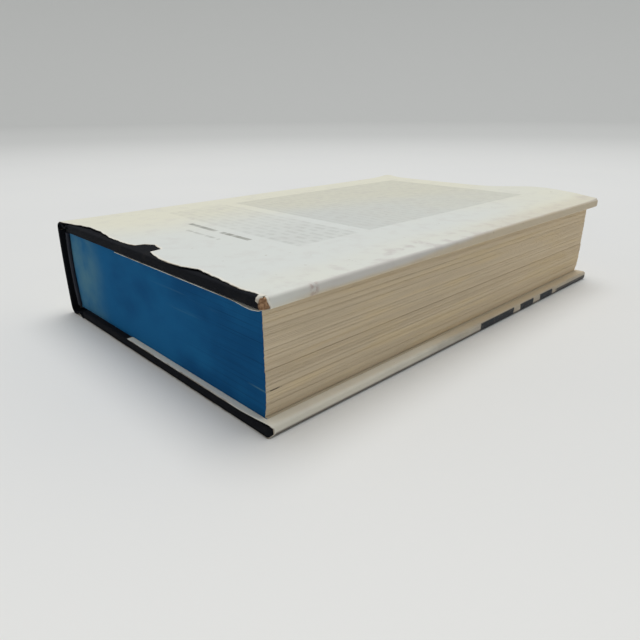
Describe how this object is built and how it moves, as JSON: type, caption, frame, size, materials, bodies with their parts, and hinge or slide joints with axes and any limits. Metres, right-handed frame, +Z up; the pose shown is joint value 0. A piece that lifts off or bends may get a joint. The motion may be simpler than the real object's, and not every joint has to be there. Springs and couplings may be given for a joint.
{
  "type": "hardback book",
  "caption": "Thick hardback book: cloth case with jointed covers, rounded spine, page block stained blue at the head with a rough fore-edge, worn paper jacket.",
  "frame": {"origin": "under the middle of the closed book, on the surface it lies on", "axes": "+X from the spine to the fore-edge, +Y from the head to the tail, +Z up through the closed book, which lies on its front cover"},
  "size_m": [0.1612, 0.241, 0.047],
  "materials": {
    "page_paper": "toned cream leaves, head edge stained blue",
    "endpaper": "plain cream endpaper",
    "mull_gauze": "open gauze stiffened with glue",
    "lining_paper": "brown wrapping paper",
    "band_thread": "dark woven band",
    "spine_card": "smooth grey card",
    "case_cloth": "black woven book cloth",
    "jacket_paper": "worn coated paper, soft sheen",
    "greyboard": "dense grey-brown board"
  },
  "bodies": {
    "book_block": {"text_block": "page_paper", "front_flyleaf": "endpaper", "back_flyleaf": "endpaper", "mull": "mull_gauze", "spine_lining": "lining_paper", "head_band": "band_thread", "tail_band": "band_thread", "spine_inlay": "spine_card", "spine_cloth": "case_cloth", "jacket_spine": "jacket_paper"},
    "front_cover": {"front_board": "greyboard", "front_cloth": "case_cloth", "front_pastedown": "endpaper", "jacket_front": "jacket_paper"},
    "back_cover": {"back_board": "greyboard", "back_cloth": "case_cloth", "back_pastedown": "endpaper", "jacket_back": "jacket_paper"}
  },
  "joints": [
    {"name": "front_cover_hinge", "type": "hinge", "parent": "book_block", "child": "front_cover", "pos_m": [-0.07362, 0, 0.00435], "axis": [0, 1, 0], "range_deg": [0, 179]},
    {"name": "back_cover_hinge", "type": "hinge", "parent": "book_block", "child": "back_cover", "pos_m": [-0.07362, 0, 0.04265], "axis": [0, -1, 0], "range_deg": [0, 179]}
  ]
}
